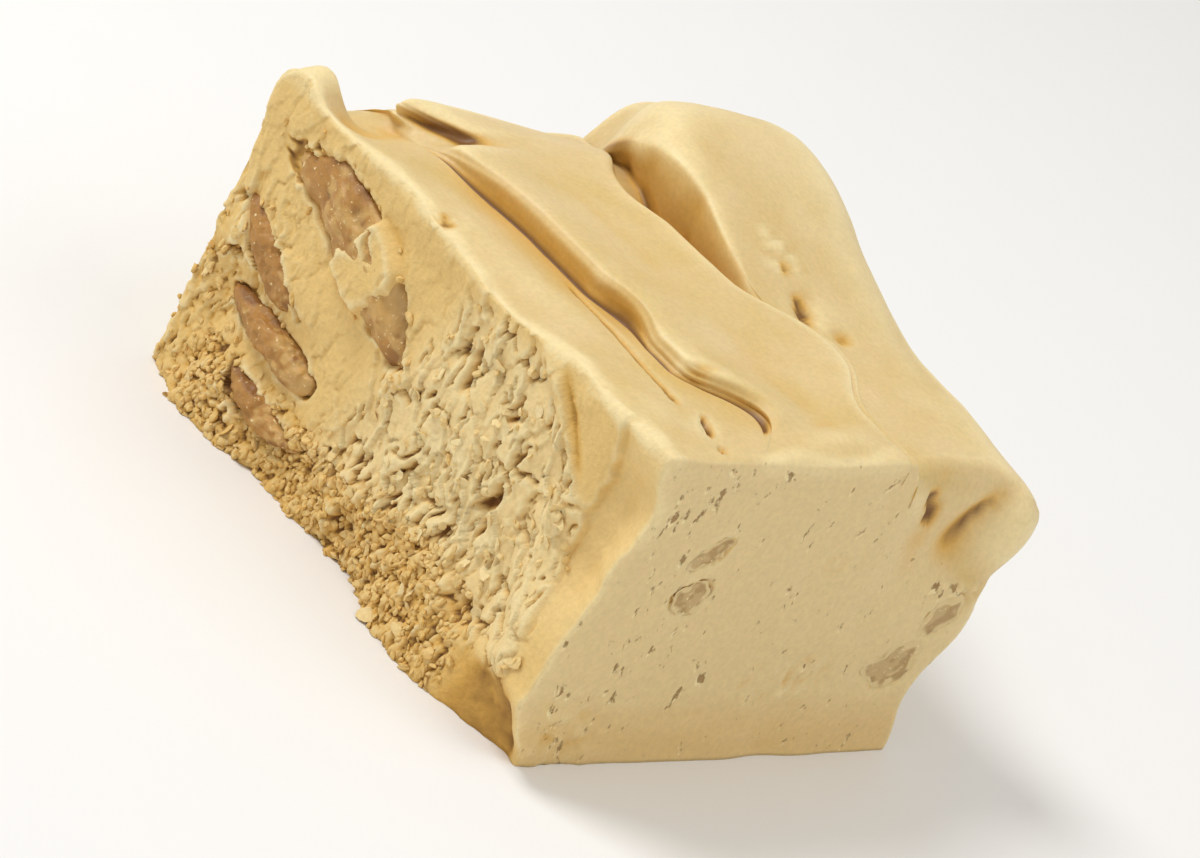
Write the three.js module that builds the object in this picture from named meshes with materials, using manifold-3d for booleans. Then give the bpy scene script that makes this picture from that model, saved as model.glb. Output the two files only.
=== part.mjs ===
// A hand-cut slice of maple walnut fudge: a soft block with a swirled top, one torn side, one knife-cut front
// and broken walnut kernels that show where the tear and the knife went through them.
// Millimetres. X runs along the cut front, Y from the front to the back, Z up from the flat base.
import * as THREE from "three";
import { mergeVertices } from "three/addons/utils/BufferGeometryUtils.js";
import Module from "manifold-3d";

// Sizes of the block
const BASE_FRONT_WIDTH = 56.7;
const BASE_BACK_WIDTH = 61;
const TOP_FRONT_WIDTH = 59.8;
const TOP_BACK_FLARE = 6.2;
const TOP_CORNER_FLARE = 1.3;
const LENGTH = 75;
const TORN_EDGE_HEIGHT = 39.2;
const BAND_HEIGHT = 38.7;
const TONGUE_HEIGHT = 40.2;
const HUMP_HEIGHT = 47.6;
const CORNER_HEIGHT = 33.6;
const EDGE_RADIUS = 1.1;

// Sizes of the swirls on the top
const FIRST_LIP = 2.7;
const FIRST_OVERHANG = 0.4;
const POCKET_DEPTH = 3.6;
const POCKET_WIDTH = 4;
const POCKET_OVERHANG = 2.4;
const HUMP_LIP = 0.93;
const TONGUE_DISH = 0.9;
const TONGUE_RIM = 0.8;
const BACK_CURL = 2.4;
const STUB_WIDTH = 4.2;

// Sizes of the side relief
const TEAR_DEPTH = 0.8;
const CHIP_COUNT = 110;
const CHIP_HEIGHT = 1.3;
const CHIP_SEED = 11;
const SCOOP_DEPTH = 2.6;
const FOOT_SPREAD = 3.4;
const CORNER_KNOB = 3.9;
const FRONT_DRAWN_OUT = 3.6;
const FRONT_SET_BACK = 1.8;
const END_HOLLOW = 2.8;
const CORNER_SET_BACK = 1.7;

// Grid of the block's surface, and the plan point that becomes the origin
const GRID = { across: 36, along: 40, up: 18 };
const PLAN_CENTRE = { x: 31.15, y: 37.5 };
const FLATNESS = 0.03;

// Walnut kernels: the middle along and up the side, half length, half width, half depth, tilt and bend.
// sunk is how deep the middle lies; a kernel on the torn side stands a little proud, one on the front is cut.
const WALNUT_GAP = 0.3;
const TORN_WALNUTS = [
  { name: "walnut_1", along: 64.6, up: 20, half: [7.6, 2.5, 3], tilt: 27, bend: 0.8, sunk: 2.5 },
  { name: "walnut_2", along: 53.6, up: 29, half: [15.4, 4.8, 4.6], tilt: 21, bend: -1.4, sunk: 4 },
  { name: "walnut_3", along: 59, up: 12.8, half: [8.8, 2.1, 2.6], tilt: 6, bend: 0.5, sunk: 2.1 },
  { name: "walnut_4", along: 55.8, up: 5.9, half: [7, 1.8, 2.4], tilt: 8, bend: 0.4, sunk: 1.2 },
];
const CUT_WALNUTS = [
  { name: "walnut_5", along: 12.4, up: 27, half: [3, 1.3, 2.6], tilt: 38, bend: -0.5, sunk: 0.6 },
  { name: "walnut_6", along: 12.7, up: 21.6, half: [2.9, 2.2, 3], tilt: 24, bend: 0.3, sunk: 0.5 },
  { name: "walnut_7", along: 49.7, up: 12.3, half: [4, 2.8, 3.6], tilt: 24, bend: 0.6, sunk: 0.8 },
  { name: "walnut_8", along: 53.6, up: 19, half: [3.4, 2, 3], tilt: 42, bend: 0.4, sunk: 0.8 },
];

const FUDGE_COLOUR = "#e2c88f";
const WALNUT_COLOUR = "#b08c58";

// Small helpers: a smooth rise from 0 to 1, a smooth hill and a blend.
const rise = (from, to, value) => THREE.MathUtils.smoothstep(value, from, to);
const hill = (value, middle, reach) => {
  const t = Math.min(1, Math.abs(value - middle) / reach);
  return (1 - t * t) ** 2;
};
const blend = THREE.MathUtils.lerp;
const seeded = (seed) => () => THREE.MathUtils.seededRandom((seed = (seed * 16807) % 2147483647));

// Lines of the top in plan and in height, each worked out from the distance y to the cut front.
const topWidth = (y) =>
  TOP_FRONT_WIDTH + TOP_CORNER_FLARE * hill(y, 6, 16) + 1.2 * hill(y, 29, 14)
  + TOP_BACK_FLARE * rise(22, 56, y) - 3 * rise(66, 76, y);
const baseWidth = (y) => blend(BASE_FRONT_WIDTH, BASE_BACK_WIDTH, y / LENGTH);
const backRoll = (y) => 7 * rise(56, 78, y);
const firstCrease = (y) =>
  13.2 + 1.3 * hill(y, 26.5, 6) + 6 * hill(y, 8.5, 8.5) - 2.6 * rise(42, 64, y);
const firstLip = (y) =>
  FIRST_LIP * (0.35 * rise(4, 8, y) + 0.65 * rise(20, 29, y)) * (1 - rise(48, 63, y));
const secondCrease = (y) =>
  33.2 + 1.5 * (1 - rise(0, 12, y)) + 5.2 * hill(y, 20, 12) - 2 * hill(y, 51, 8) + 13.3 * rise(53, 76, y);
const pocket = (y) => POCKET_DEPTH * rise(26, 41, y) * (1 - 0.75 * rise(46, 54, y));
const pocketReach = (y) =>
  (POCKET_WIDTH * (0.55 + 0.45 * rise(28, 46, y)) + 2 * hill(y, 52, 8)) * (1 - 0.7 * rise(57, 64, y));
const pocketLean = (y) =>
  (POCKET_OVERHANG - 1 + rise(44, 52, y)) * rise(26, 41, y) * (1 - 0.6 * rise(57, 66, y))
  + 0.8 * hill(y, 57, 6);
const stubRise = (y) => 0.9 * hill(y, 71.5, 5) - 2.4 * rise(72.5, 75.5, y);
const tornEdge = (y) =>
  TORN_EDGE_HEIGHT - 2.1 * hill(y, 29, 14) - 0.6 * hill(y, 63, 7) + stubRise(y);
const band = (y) => BAND_HEIGHT - backRoll(y);
const tongue = (y) => blend(BAND_HEIGHT, TONGUE_HEIGHT, rise(0, 16, y)) - backRoll(y);
const hump = (y) => blend(37.3, HUMP_HEIGHT, rise(17, 56, y)) - 1.2 * backRoll(y);
const rightEdge = (y) => CORNER_HEIGHT + 2.8 * rise(0, 17, y) + 7.2 * rise(23, 58, y) - 1.1 * backRoll(y);

// One line across the top at distance y: the band by the torn edge, the lip that curls over the first crease,
// the dished tongue, the pocket under the hump's own lip, then the hump down to the right edge.
function lineAcross(y) {
  const crease = firstCrease(y);
  const lip = firstLip(y);
  const near = secondCrease(y);
  const depth = pocket(y);
  const reach = pocketReach(y);
  const width = topWidth(y);
  const floor = tongue(y) - depth;
  const curl = BACK_CURL * hill(y, 65.5, 6);
  const stub = rise(65.5, 71.5, y);
  const wall = HUMP_LIP * (1 - rise(43, 67, y));
  const dish = TONGUE_DISH * hill(y, 15, 12) - TONGUE_RIM * hill(y, 3.6, 3.4);
  const knots = [
    [0, tornEdge(y)],
    [blend(0.5 * crease, STUB_WIDTH, stub), blend(band(y), tornEdge(y), stub)],
    [blend(crease, STUB_WIDTH + 1.4, stub), band(y) - 0.35 * lip],
    [crease + 1 - FIRST_OVERHANG * (lip / FIRST_LIP), band(y) + 0.6 * lip + 0.5 * curl],
    [crease + 2.6, tongue(y) + 0.3 * lip + curl],
    [0.5 * (crease + near) + 1, tongue(y) - dish],
    [near, tongue(y) + 0.4],
    [near + 0.45 * reach, floor + 0.15 * depth],
    [near + reach, floor],
    [near + reach + 1 - pocketLean(y), blend(floor, hump(y), wall)],
    [near + reach + 3 + 2 * rise(54, 66, y), hump(y)],
    [width - 7 + 3 * rise(60, 74, y), blend(hump(y), rightEdge(y), 0.4) + 0.5],
    [width, rightEdge(y)],
  ];
  const points = knots.map(([x, z]) => new THREE.Vector3(x, y, z));
  return new THREE.CatmullRomCurve3(points, false, "catmullrom", 0.5);
}

// Chips of the torn side: seeded short ridges and gouges, each a stretched hill, mostly upright.
function chipsOf(count) {
  const random = seeded(CHIP_SEED);
  return Array.from({ length: count }, () => ({
    y: blend(7, 62, random()),
    z: blend(2, 33, random()),
    turn: THREE.MathUtils.degToRad(blend(35, 125, random())),
    long: blend(2.6, 5.5, random()),
    wide: blend(1.5, 2.6, random()),
    height: CHIP_HEIGHT * blend(-0.7, 1, random()),
  }));
}
const CHIPS = chipsOf(CHIP_COUNT);

function chipOut(chip, y, z) {
  const along = (y - chip.y) * Math.cos(chip.turn) + (z - chip.z) * Math.sin(chip.turn);
  const aside = (z - chip.z) * Math.cos(chip.turn) - (y - chip.y) * Math.sin(chip.turn);
  return chip.height * hill(Math.hypot(along / chip.long, aside / chip.wide), 0, 1);
}

// Ragged relief of the torn side, inwards positive: a scoop by the front edge, the tear, its chips and
// a slack foot.
function tearIn(y, z) {
  const inside = rise(0, 4, z) * (1 - rise(33, 38, z)) * (1 - rise(68, 74, y));
  const scoop = SCOOP_DEPTH * hill(y, 2, 10) * rise(0, 5, y) * rise(14, 24, z) * (1 - rise(28, 38, z));
  const torn = rise(8, 15, y) * (1 - rise(46, 58, y) * rise(14, 20, z));
  const chips = CHIPS.reduce((sum, chip) => sum + chipOut(chip, y, z), 0);
  const foot = FOOT_SPREAD * (hill(y, 17, 17) + 0.8 * hill(y, 62, 15)) * (1 - rise(0, 13, z));
  return inside * (scoop + torn * (TEAR_DEPTH - chips)) - foot;
}

// The left end of the cut front is drawn out near its foot and set back below the top.
function frontAside(x, y, z) {
  const drawn = FRONT_SET_BACK * hill(z, 32.5, 6) - FRONT_DRAWN_OUT * rise(0, 9, z) * (1 - rise(10, 24, z));
  return drawn * hill(x, 0, 16) * hill(y, 0, 15);
}

// The front is cut flat; its upper right corner is natural skin, set back, with two hollows.
function frontIn(x, z) {
  const skin = CORNER_SET_BACK * rise(38, 47, x) * rise(19, 29, z) * (1 - rise(53, 60, x));
  const first = hill(Math.hypot((x - 42.6) / 0.5, z - 31), 0, 6);
  const second = hill(Math.hypot(x - 50.5, z - 31.5), 0, 4.5);
  return skin + END_HOLLOW * (first + 0.6 * second) * (1 - rise(34, 37, z));
}

// The right end is slack: drawn in low down, swelling to a knob at the front corner.
const endOut = (y, z) =>
  CORNER_KNOB * hill(z, 29.5, 8.5) * (0.26 + 0.74 * hill(y, 0, 22)) - 2.4 * hill(z, 8.5, 8);

// A point of the block's skin for u across, v along and w up, each from 0 to 1.
function skinPoint(u, v, w) {
  const size = new THREE.Vector3(BASE_FRONT_WIDTH, LENGTH, BAND_HEIGHT);
  const flat = new THREE.Vector3(u, v, w).multiply(size);
  const low = new THREE.Vector3(EDGE_RADIUS, EDGE_RADIUS, 0);
  const core = flat.clone().clamp(low, size.clone().subScalar(EDGE_RADIUS));
  const out = flat.clone().sub(core);
  const round = core.add(out.setLength(Math.min(out.length(), EDGE_RADIUS))).divide(size);
  const y = round.y * LENGTH;
  const top = lineAcross(y).getPoint(round.x);
  const base = new THREE.Vector3(round.x * baseWidth(y), y, 0);
  const point = base.lerp(top, round.z);
  if (u === 0) point.x += tearIn(point.y, point.z);
  point.x += frontAside(point.x, point.y, point.z);
  if (u === 1) point.x += endOut(point.y, point.z);
  if (v === 0) point.y += frontIn(point.x, point.z);
  return point;
}

// Bare positions, with shared corners joined, are all that a solid needs.
function joined(geometry) {
  const bare = new THREE.BufferGeometry();
  bare.setAttribute("position", geometry.getAttribute("position"));
  if (geometry.index) bare.setIndex(geometry.index);
  return mergeVertices(bare, 1e-4);
}

function blockGeometry() {
  const geometry = joined(new THREE.BoxGeometry(1, 1, 1, GRID.across, GRID.along, GRID.up));
  const position = geometry.getAttribute("position");
  for (let i = 0; i < position.count; i += 1) {
    const corner = new THREE.Vector3().fromBufferAttribute(position, i).addScalar(0.5);
    const point = skinPoint(corner.x, corner.y, corner.z);
    position.setXYZ(i, point.x, point.y, point.z);
  }
  return geometry;
}

// A kernel is a bent, lumpy pebble that lies along its side; grow makes the pocket that it sits in.
function kernelGeometry(kernel, side, grow) {
  const geometry = joined(new THREE.IcosahedronGeometry(1, kernel.half[0] > 5 ? 4 : 3));
  const position = geometry.getAttribute("position");
  const [long, wide, deep] = kernel.half;
  for (let i = 0; i < position.count; i += 1) {
    const unit = new THREE.Vector3().fromBufferAttribute(position, i);
    const turn = Math.atan2(unit.y, unit.x);
    const lumps = 1 + 0.07 * Math.sin(3 * turn + kernel.along) + 0.05 * Math.sin(5 * turn + kernel.up);
    const along = unit.x * (long * lumps + grow);
    const up = unit.y * (wide * lumps + grow) + kernel.bend * (unit.x * unit.x - 0.35);
    const inward = Math.sign(unit.z) * Math.abs(unit.z) ** 0.7 * (deep + grow);
    position.setXYZ(i, along, up, inward);
  }
  geometry.rotateZ(THREE.MathUtils.degToRad(kernel.tilt));
  if (side === "torn") {
    geometry.applyMatrix4(new THREE.Matrix4().set(0, 0, 1, 0, 1, 0, 0, 0, 0, 1, 0, 0, 0, 0, 0, 1));
    geometry.translate(kernel.sunk, kernel.along, kernel.up);
  } else {
    geometry.rotateX(Math.PI / 2);
    geometry.translate(kernel.along, kernel.sunk, kernel.up);
  }
  return geometry;
}

const wasm = await Module();
wasm.setup();

function solidOf(geometry) {
  const vertProperties = new Float32Array(geometry.getAttribute("position").array);
  const triVerts = new Uint32Array(geometry.index.array);
  return new wasm.Manifold(new wasm.Mesh({ numProp: 3, vertProperties, triVerts }));
}

function meshOf(name, solid, material) {
  const { numProp, vertProperties, triVerts } = solid.getMesh();
  const geometry = new THREE.BufferGeometry();
  const interleaved = new THREE.InterleavedBuffer(vertProperties, numProp);
  const position = new THREE.InterleavedBufferAttribute(interleaved, 3, 0);
  geometry.setAttribute("position", position);
  geometry.setIndex(new THREE.BufferAttribute(triVerts, 1));
  geometry.computeVertexNormals();
  const mesh = new THREE.Mesh(geometry, material);
  mesh.name = name;
  return mesh;
}

const fudge = new THREE.MeshStandardMaterial({ color: FUDGE_COLOUR, roughness: 0.55, metalness: 0 });
const walnut = new THREE.MeshStandardMaterial({ color: WALNUT_COLOUR, roughness: 0.6, metalness: 0 });

const part = new THREE.Group();
part.name = "maple_fudge";

const whole = solidOf(blockGeometry());
let block = whole;
for (const [side, kernels] of [["torn", TORN_WALNUTS], ["cut", CUT_WALNUTS]]) {
  for (const kernel of kernels) {
    block = block.subtract(solidOf(kernelGeometry(kernel, side, WALNUT_GAP)));
    const chunk = solidOf(kernelGeometry(kernel, side, 0));
    const seated = side === "cut" ? chunk.intersect(whole) : chunk;
    part.add(meshOf(kernel.name, seated, walnut));
  }
}
// Flat runs of the base and the cut front need few triangles.
part.add(meshOf("fudge", block.simplify(FLATNESS), fudge));

part.position.set(-PLAN_CENTRE.x, -PLAN_CENTRE.y, 0);

export default part;
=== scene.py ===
"""A hand-cut slice of maple walnut fudge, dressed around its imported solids."""
from collections import namedtuple
from types import SimpleNamespace

import bpy
import numpy as np
from mathutils import Color, Matrix, Vector


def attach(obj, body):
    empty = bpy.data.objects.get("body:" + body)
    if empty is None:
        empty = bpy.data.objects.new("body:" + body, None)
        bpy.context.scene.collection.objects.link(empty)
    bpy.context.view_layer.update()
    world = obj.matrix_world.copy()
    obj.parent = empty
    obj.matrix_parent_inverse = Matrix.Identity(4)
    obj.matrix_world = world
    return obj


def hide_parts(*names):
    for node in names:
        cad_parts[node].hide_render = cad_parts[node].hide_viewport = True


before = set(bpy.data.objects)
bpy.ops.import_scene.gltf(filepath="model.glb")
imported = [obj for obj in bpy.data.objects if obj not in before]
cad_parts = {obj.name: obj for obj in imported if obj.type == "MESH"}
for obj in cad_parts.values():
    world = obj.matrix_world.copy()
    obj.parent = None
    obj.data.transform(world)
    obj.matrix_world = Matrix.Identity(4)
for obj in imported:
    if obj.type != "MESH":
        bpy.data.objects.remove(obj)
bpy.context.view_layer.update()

bl_info = {
    "name": "Maple walnut fudge",
    "version": (1, 0, 0),
    "blender": (4, 5, 0),
    "location": "View3D > Sidebar > Fudge",
    "description": "Builds a hand-cut slice of maple walnut fudge with torn side, swirled top and kernels",
    "category": "Add Mesh",
}

# All forms are worked out in millimetres from the lower front corner on the torn side: x along the cut
# front, y to the back, z up. PLAN_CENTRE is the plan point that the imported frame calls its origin.
PLAN_CENTRE = np.array([31.15, 37.5, 0.0])
MM = 0.001

# Columns in each span of the line across the top, steps along the length and up the height, and the columns
# and rows of a kernel
TOP_COLUMNS = (20, 44, 22, 20, 24, 24, 16, 16, 24, 20, 24, 18)
TOP_SPANS = len(TOP_COLUMNS)
LENGTH_STEPS, HEIGHT_STEPS = 352, 160
KERNEL_RINGS = (144, 71)

# Rounds of relaxing that smooth away the fine and the broad relief
FINE_ROUNDS, BROAD_ROUNDS = 20, 90

# Least height above the base plane of the block's sides and of the loose bits
SIDE_LIFT, CRUMB_LIFT = 0.02, 0.05

# Knots of the line across the top that the relief and the finish follow
CREASE, FOLD, POCKET_EDGE, POCKET_FLOOR, HUMP_LIP = 2, 4, 6, 8, 9
# Where the pocket under the hump begins and where it is full, from the front
POCKET_START = (26, 41)
# Where the slack right end of the cut front begins
RIGHT_END = 46

# Kernels: side, middle along and up it, half length, width and depth, tilt in degrees, bend, sunk depth
Kernel = namedtuple("Kernel", "side along up long wide deep tilt bend sunk")
KERNELS = {
    "walnut_1": Kernel("torn", 64.6, 20.0, 7.6, 2.5, 3.0, 27, 0.8, 2.5),
    "walnut_2": Kernel("torn", 53.6, 29.0, 15.4, 4.8, 4.6, 21, -1.4, 4.0),
    "walnut_3": Kernel("torn", 59.0, 12.8, 8.8, 2.1, 2.6, 6, 0.5, 2.1),
    "walnut_4": Kernel("torn", 55.8, 5.9, 7.0, 1.8, 2.4, 8, 0.4, 1.2),
    "walnut_5": Kernel("cut", 12.4, 27.0, 3.0, 1.3, 2.6, 38, -0.5, 0.6),
    "walnut_6": Kernel("cut", 12.7, 21.6, 2.9, 2.2, 3.0, 24, 0.3, 0.5),
    "walnut_7": Kernel("cut", 49.7, 12.3, 4.0, 2.8, 3.6, 24, 0.6, 0.8),
    "walnut_8": Kernel("cut", 53.6, 19.0, 3.4, 2.0, 3.0, 42, 0.4, 0.8),
}

# A kernel's bed on each side: share of the outline, how ragged its rim is, its height, and its rim's brown
BEDS = {"torn": (0.9, 0.28, -0.9, 0.8), "cut": (0.93, 0.25, -0.4, 0.35)}

# Paste drawn across a kernel, from one place on the torn side to another, and how far it reaches
BRIDGES = {"walnut_2": ((52, 23), (48, 33), 5)}

# The torn side: length and width of its plates, of the chips on them and of the cells with cracks; the run of
# the plates at the front and behind it, and of the cracks, in degrees; size and seed of the crumbs' grains
PLATE_CELL, CHIP_CELL, CRACK_CELL = (4.8, 2.6), (2.0, 1.2), (3.6, 2.2)
FRONT_RUN, BACK_RUN, CRACK_RUN = 62, 92, 85
GRAINS = ((2.0, 51), (1.2, 53), (0.7, 57))
# How shreds droop there, as shares of their height, so that they hang over the gaps
DROOP_WAY = (0, 0.12, -0.4)

# Deep tears in the torn side: from one place to another, and half width
TEARS = (
    ((51.3, 31.6), (49.7, 29.7), 0.7), ((71.7, 17.8), (69.1, 17.1), 0.6), ((72.2, 14.7), (72.0, 14.6), 0.6),
    ((57.9, 18.3), (57.1, 17.2), 0.6), ((61.8, 6.1), (60.2, 4.7), 0.7), ((30.9, 30.3), (30.4, 26.3), 1.0),
    ((20.0, 20.8), (21.4, 16.8), 1.1), ((22.9, 29.5), (22.7, 28.0), 0.8), ((73.2, 22.6), (72.7, 23.6), 0.7),
    ((45.4, 26.6), (43.3, 25.0), 0.5),
)

# Lines in the cut front along which burst bubbles crowd: from one place to another, half width and crowd
PORE_LINES = (
    ((3.5, 31), (10, 35.5), 3.4, 1), ((3.8, 26.5), (5.4, 23), 1.5, 0.8), ((15.4, 18), (6.8, 12), 1.3, 1),
    ((16.9, 7.2), (20.4, 11.2), 1.5, 1.3), ((8.6, 8.9), (0.8, 9.3), 1.7, 1.1), ((0.5, 6), (6, 1), 3.2, 1),
    ((12.4, 37.7), (19.6, 36.6), 1, 0.8), ((9, 26), (8, 23), 1.5, 0.9), ((50, 22), (57, 22), 2, 1),
)

# The camera's place and ways, its focal length and picture width in pixels, and its sensor's width
CAMERA_SPOT = (-300.52, -247.94, 209.30)
CAMERA_LOOK, CAMERA_UP = Vector((0.69424, 0.59693, -0.40211)), Vector((-0.02114, 0.57536, 0.81762))
FOCAL_PIXELS, PICTURE_PIXELS, SENSOR_WIDTH = 3000, 840, 36

# The way to each light, as amounts of the camera's right, up and back, and the size of its disc in metres
LIGHTS = {"key": ((-0.15, 0.9, 0.3), 0.32), "fill": ((0.75, 0.25, 0.5), 0.6)}
LIGHT_DISTANCE, LIGHT_LIFT = 0.8, 0.02

# Half width of the floor, tiles along it, and how far it lies under the block
FLOOR_HALF, FLOOR_TILES, FLOOR_GAP = 4000, 8, 0.02


def to_linear(colour):
    """Linear red, green and blue of an sRGB hex colour."""
    levels = np.array([int(colour[i:i + 2], 16) / 255 for i in (1, 3, 5)])
    linear = np.where(levels <= 0.04045, levels / 12.92, ((levels + 0.055) / 1.055) ** 2.4)
    return tuple(float(value) for value in linear)


def size_prop(label, millimetres, about):
    """A length property, given in millimetres and kept in metres."""
    return bpy.props.FloatProperty(name=label, description=about, default=millimetres * MM, unit="LENGTH")


def in_millimetres(settings):
    """The lengths of a settings group by name, in millimetres."""
    return SimpleNamespace(**{name: getattr(settings, name) / MM for name in type(settings).__annotations__})


def colour_prop(label, colour, about):
    """A colour property, given as an sRGB hex value."""
    return bpy.props.FloatVectorProperty(name=label, description=about, default=to_linear(colour), size=3,
                                         min=0.0, max=1.0, subtype="COLOR")


def count_prop(label, count, about):
    """A whole-number property."""
    return bpy.props.IntProperty(name=label, description=about, default=count, min=1)


def power_prop(label, watts, about):
    """A property for the power of a light."""
    return bpy.props.FloatProperty(name=label, description=about, default=watts, unit="POWER")


class FudgeBlockSettings(bpy.types.PropertyGroup):
    """Sizes of the block, its swirls and its torn side."""

    front_width: size_prop("Front width", 56.7, "Width of the base along the cut front")
    back_width: size_prop("Back width", 61.0, "Width of the base along the back")
    length: size_prop("Length", 75.0, "Length from the cut front to the back")
    top_width: size_prop("Top width", 59.8, "Width of the top along the cut front")
    crease_place: size_prop("Crease place", 13.2, "Distance of the first crease from the torn edge")
    pocket_place: size_prop("Pocket place", 33.2, "Distance of the pocket under the hump from the torn edge")
    pocket_width: size_prop("Pocket width", 4.0, "Width of the pocket's floor under the hump")
    edge_height: size_prop("Torn edge height", 39.2, "Height of the torn edge of the top")
    band_height: size_prop("Band height", 38.7, "Height of the flat band beside the torn edge")
    tongue_height: size_prop("Tongue height", 40.2, "Height of the broad tongue between the creases")
    hump_height: size_prop("Hump height", 47.6, "Height of the hump at the back right")
    hump_start: size_prop("Hump start", 37.3, "Height of the hump's line at the cut front")
    right_height: size_prop("Right edge height", 33.6, "Height of the right edge at the cut front")
    back_roll: size_prop("Back roll", 7.0, "How far the top would roll down just past the back")
    edge_radius: size_prop("Edge radius", 1.1, "Rounding of the block's edges")
    first_lip: size_prop("Lip height", 2.7, "Height of the lip that curls over the first crease")
    pocket_depth: size_prop("Pocket depth", 3.6, "Depth of the pocket under the hump's lip")
    scale_height: size_prop("Tear height", 1.25, "Height of the torn scales on the torn side")


class FudgeColourSettings(bpy.types.PropertyGroup):
    """Colours of the fudge and of its kernels."""

    skin: colour_prop("Skin", "#e2c790", "Smooth golden top")
    skin_deep: colour_prop("Deep skin", "#dabc78", "Thicker, glossier runs of the top")
    cut: colour_prop("Cut face", "#e4ca92", "Knife-cut paste, greyer than the skin")
    torn: colour_prop("Torn paste", "#e9c67e", "Freshly torn paste")
    # Hollows and depths are painted shade in creases, gaps, tears and under loose bits: golden where shallow,
    # brown where deep
    hollow: colour_prop("Hollows", "#dcac52", "Golden, oily paste in creases and tears")
    deep: colour_prop("Depths", "#7d5320", "Brown paste in the depth of creases and gaps")
    pore: colour_prop("Burst bubbles", "#a5824a", "Shaded air bubbles in the cut")
    # Worn rims also give the painted highlights on crests and other raised places, the knob and loose bits
    rim: colour_prop("Worn rims", "#f3dea8", "Pale, dry sugar on worn edges and flakes")
    kernel: colour_prop("Kernel", "#b98743", "Broken walnut flesh")
    kernel_cut: colour_prop("Kernel section", "#b4935c", "Walnut flesh where the knife went through")
    kernel_skin: colour_prop("Kernel skin", "#85582c", "Papery brown skin of the walnut")


class FudgeScatterSettings(bpy.types.PropertyGroup):
    """How many loose flakes and crumbs cling to the torn side."""

    flakes: count_prop("Flakes", 80, "Curled flakes on the torn side")
    crumbs: count_prop("Crumbs", 900, "Crumbs on the torn side")
    seed: count_prop("Seed", 23, "Start of the random draw")


class FudgeStageSettings(bpy.types.PropertyGroup):
    """Floor, light and camera."""

    floor: colour_prop("Floor", "#f4f3f1", "Plain pale floor")
    key_power: power_prop("Key power", 3.35, "Power of the large key light")
    fill_power: power_prop("Fill power", 1.2, "Power of the fill light")
    surround: bpy.props.FloatProperty(name="Surround", description="Strength of the even light all round",
                                      default=0.55)


# Small shaping functions, all on whole arrays

def rise(start, end, value):
    """Smooth step up: 0 before start, 1 after end."""
    t = np.clip((value - start) / (end - start), 0, 1)
    return t * t * (3 - 2 * t)


def fall(start, end, value):
    """Smooth step down: 1 before start, 0 after end."""
    return 1 - rise(start, end, value)


def plateau(start, full, drop, end, value):
    """Smooth step up from start to full, times one down from drop to end."""
    return rise(start, full, value) * fall(drop, end, value)


def hill(value, middle, reach):
    """Smooth hill: 1 at the middle, 0 beyond reach."""
    t = np.clip(np.abs(value - middle) / reach, 0, 1)
    return (1 - t * t) ** 2


def dome(a, b, place, reach, stretch=(1, 1)):
    """Smooth hill round a place in a plane: 1 there, 0 beyond reach, which is stretched each way."""
    return hill(np.hypot((a - place[0]) / stretch[0], (b - place[1]) / stretch[1]), 0, reach)


def near_line(a, b, start, end, wide):
    """1 on the line from start to end, falling to 0 at the given distance from it."""
    way = np.subtract(end, start)
    t = np.clip(((a - start[0]) * way[0] + (b - start[1]) * way[1]) / (way @ way), 0, 1)
    return hill(np.hypot(a - start[0] - t * way[0], b - start[1] - t * way[1]), 0, wide)


def turned(a, b, degrees):
    """Distances along and aside of a line that is turned by so many degrees."""
    turn = np.radians(degrees)
    return a * np.cos(turn) + b * np.sin(turn), b * np.cos(turn) - a * np.sin(turn)


def blend(a, b, t):
    """Straight blend from a to b."""
    return a + (b - a) * t


def cell_random(cells, seed):
    """A number from 0 to 1 for each whole-number cell, from a fixed integer mix of its coordinates."""
    mixed = np.full(cells[0].shape, seed * 374761393 % 2**32, dtype=np.uint64)
    for part, factor in zip(cells, (668265263, 2246822519, 3266489917)):
        mixed = (mixed + (part.astype(np.int64) + 4096).astype(np.uint64) * factor) % 2**32
        mixed = ((mixed ^ (mixed >> np.uint64(13))) * 1274126177) % 2**32
    return ((mixed ^ (mixed >> np.uint64(16))) % 2**24) / 2.0**24


def soft_noise(points, size, seed):
    """Value noise from -1 to 1: random numbers at lattice corners a size apart, blended smoothly between."""
    scaled = points / size
    base = np.floor(scaled)
    t = scaled - base
    t = t * t * t * (t * (6 * t - 15) + 10)
    total = np.zeros(len(points))
    for corner in np.ndindex(2, 2, 2):
        weight = np.prod(np.where(np.array(corner), t, 1 - t), axis=1)
        total += weight * cell_random(tuple((base + corner).T), seed)
    return 2 * total - 1


def noise_sum(points, *layers):
    """Sum of soft noise layers, each given by its height, size and seed."""
    return sum(height * soft_noise(points, size, seed) for height, size, seed in layers)


def rough_noise(points, size, seed):
    """Three layers of soft noise, each half the size and half the height of the one before."""
    return noise_sum(points, *((0.5**i / 1.75, size / 2**i, seed + i) for i in range(3)))


def pebbles(points, size, seed):
    """Rounded bumps from 0 to 1: one centre per cell, and a dome around the nearest."""
    base = np.floor(points / size)
    nearest = np.full(len(points), 9.0)
    for step in np.ndindex(3, 3, 3):
        cell = base + np.array(step) - 1
        centre = np.stack([cell[:, i] + cell_random(tuple(cell.T), seed + i) for i in range(3)], axis=1)
        nearest = np.minimum(nearest, np.sum((points / size - centre) ** 2, axis=1))
    return np.sqrt(np.clip(1 - nearest / 0.75, 0, 1))


def near_centres(run, aside, cell, seed):
    """For the nine cells round each place: the cell, and the way along and aside from its drawn centre."""
    run, aside = run / cell[0], aside / cell[1]
    for i, j in np.ndindex(3, 3):
        at = np.floor(run) + i - 1, np.floor(aside) + j - 1
        yield at, run - at[0] - cell_random(at, seed), aside - at[1] - cell_random(at, seed + 1)


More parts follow.
